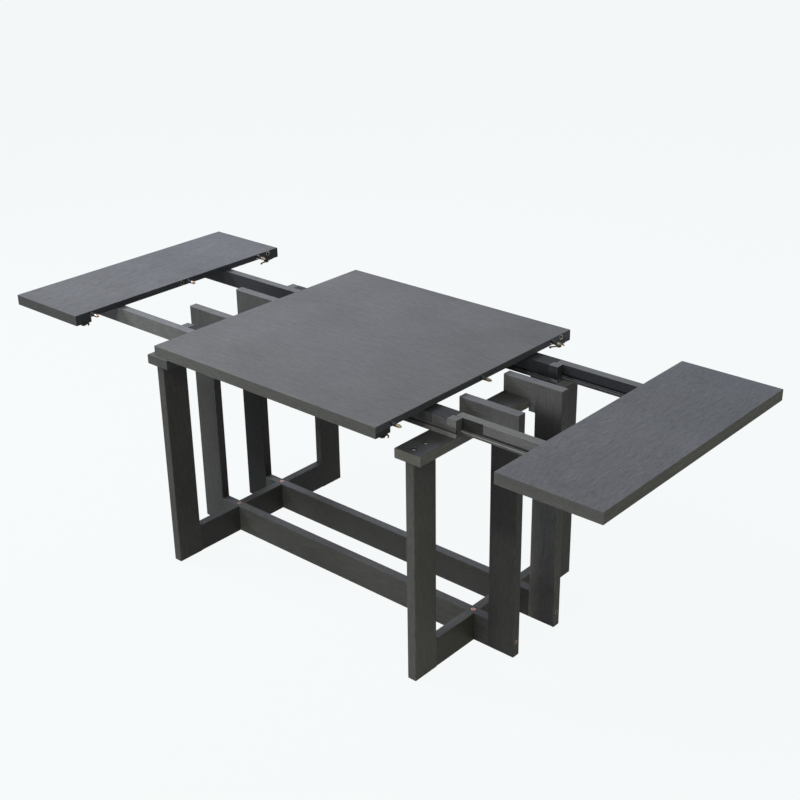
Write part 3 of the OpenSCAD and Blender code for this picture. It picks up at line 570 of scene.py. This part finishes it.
def seen_directly(tree):
    """1 for camera, glossy and transmission rays, 0 for the rays that only light things."""
    rays = tree.nodes.new("ShaderNodeLightPath")
    total = rays.outputs["Is Camera Ray"]
    for kind in ("Is Glossy Ray", "Is Transmission Ray"):
        either = tree.nodes.new("ShaderNodeMath")
        either.operation = "MAXIMUM"
        tree.links.new(total, either.inputs[0])
        tree.links.new(rays.outputs[kind], either.inputs[1])
        total = either.outputs[0]
    return total


# The backdrop's colour where it is seen, and the colour and strength of the soft light that it gives
SEEN_COLOUR = (0.925, 0.955, 0.972, 1)
FILL_COLOUR = (0.95, 0.98, 1.0, 1)
FILL_STRENGTH = 0.02


def backdrop():
    """A world that is near white where it is seen and a soft grey where it only lights."""
    world = bpy.data.worlds.new("studio")
    bpy.context.scene.world = world
    world.use_nodes = True
    tree = world.node_tree
    fill = tree.nodes["Background"]
    fill.inputs["Color"].default_value = FILL_COLOUR
    fill.inputs["Strength"].default_value = FILL_STRENGTH
    seen = tree.nodes.new("ShaderNodeBackground")
    seen.inputs["Color"].default_value = SEEN_COLOUR
    choice = tree.nodes.new("ShaderNodeMixShader")
    tree.links.new(seen_directly(tree), choice.inputs["Fac"])
    tree.links.new(fill.outputs[0], choice.inputs[1])
    tree.links.new(seen.outputs[0], choice.inputs[2])
    tree.links.new(choice.outputs[0], tree.nodes["World Output"].inputs["Surface"])


# Half the floor's side in metres, its paint and roughness, and the colour and share of its glow where it is
# seen directly
FLOOR_HALF = 12.0
FLOOR_PAINT = (0.42, 0.43, 0.43, 1)
FLOOR_ROUGHNESS = 0.9
FLOOR_GLOW = (0.975, 1.0, 1.0, 1)
GLOW_SHARE = 0.93


def floor():
    """A pale floor that keeps a light shadow and shows the backdrop's colour round it."""
    mesh = bpy.data.meshes.new("floor")
    corners = [(-FLOOR_HALF, -FLOOR_HALF, 0), (FLOOR_HALF, -FLOOR_HALF, 0),
               (FLOOR_HALF, FLOOR_HALF, 0), (-FLOOR_HALF, FLOOR_HALF, 0)]
    mesh.from_pydata(corners, [], [(0, 1, 2, 3)])
    holder = bpy.data.objects.new("floor", mesh)
    bpy.context.scene.collection.objects.link(holder)
    finish = Finish("floor_paint", specular=0.0)
    finish.shader.inputs["Base Color"].default_value = FLOOR_PAINT
    finish.shader.inputs["Roughness"].default_value = FLOOR_ROUGHNESS
    glow = finish.tree.nodes.new("ShaderNodeEmission")
    glow.inputs["Color"].default_value = FLOOR_GLOW
    choice = finish.tree.nodes.new("ShaderNodeMixShader")
    finish.put(choice.inputs["Fac"], Value(finish, seen_directly(finish.tree)) * GLOW_SHARE)
    finish.tree.links.new(finish.shader.outputs[0], choice.inputs[1])
    finish.tree.links.new(glow.outputs[0], choice.inputs[2])
    finish.tree.links.new(choice.outputs[0], finish.tree.nodes["Material Output"].inputs["Surface"])
    mesh.materials.append(finish.material)


# The photograph's side and its camera's focal length in pixels, the sensor's side in mm, and the camera's place
# in metres and its turn, tilt and roll in degrees
PHOTO_SIDE = 800
FOCAL_PIXELS = 1340.0
SENSOR_SIDE = 36.0
CAMERA_PLACE = (2.4411, -2.6251, 2.2014)
CAMERA_TURN = 41.311
CAMERA_TILT = -24.58
CAMERA_ROLL = -0.827


def camera():
    """The photograph's camera."""
    lens = bpy.data.cameras.new("camera")
    lens.sensor_width = SENSOR_SIDE
    lens.lens = SENSOR_SIDE * FOCAL_PIXELS / PHOTO_SIDE
    holder = bpy.data.objects.new("camera", lens)
    turn = (Matrix.Rotation(math.radians(CAMERA_TURN), 4, "Z")
            @ Matrix.Rotation(math.radians(90 + CAMERA_TILT), 4, "X")
            @ Matrix.Rotation(math.radians(CAMERA_ROLL), 4, "Z"))
    holder.matrix_world = Matrix.Translation(CAMERA_PLACE) @ turn
    bpy.context.scene.collection.objects.link(holder)
    bpy.context.scene.camera = holder


backdrop()
floor()
camera()
bpy.context.scene.view_settings.view_transform = "Standard"
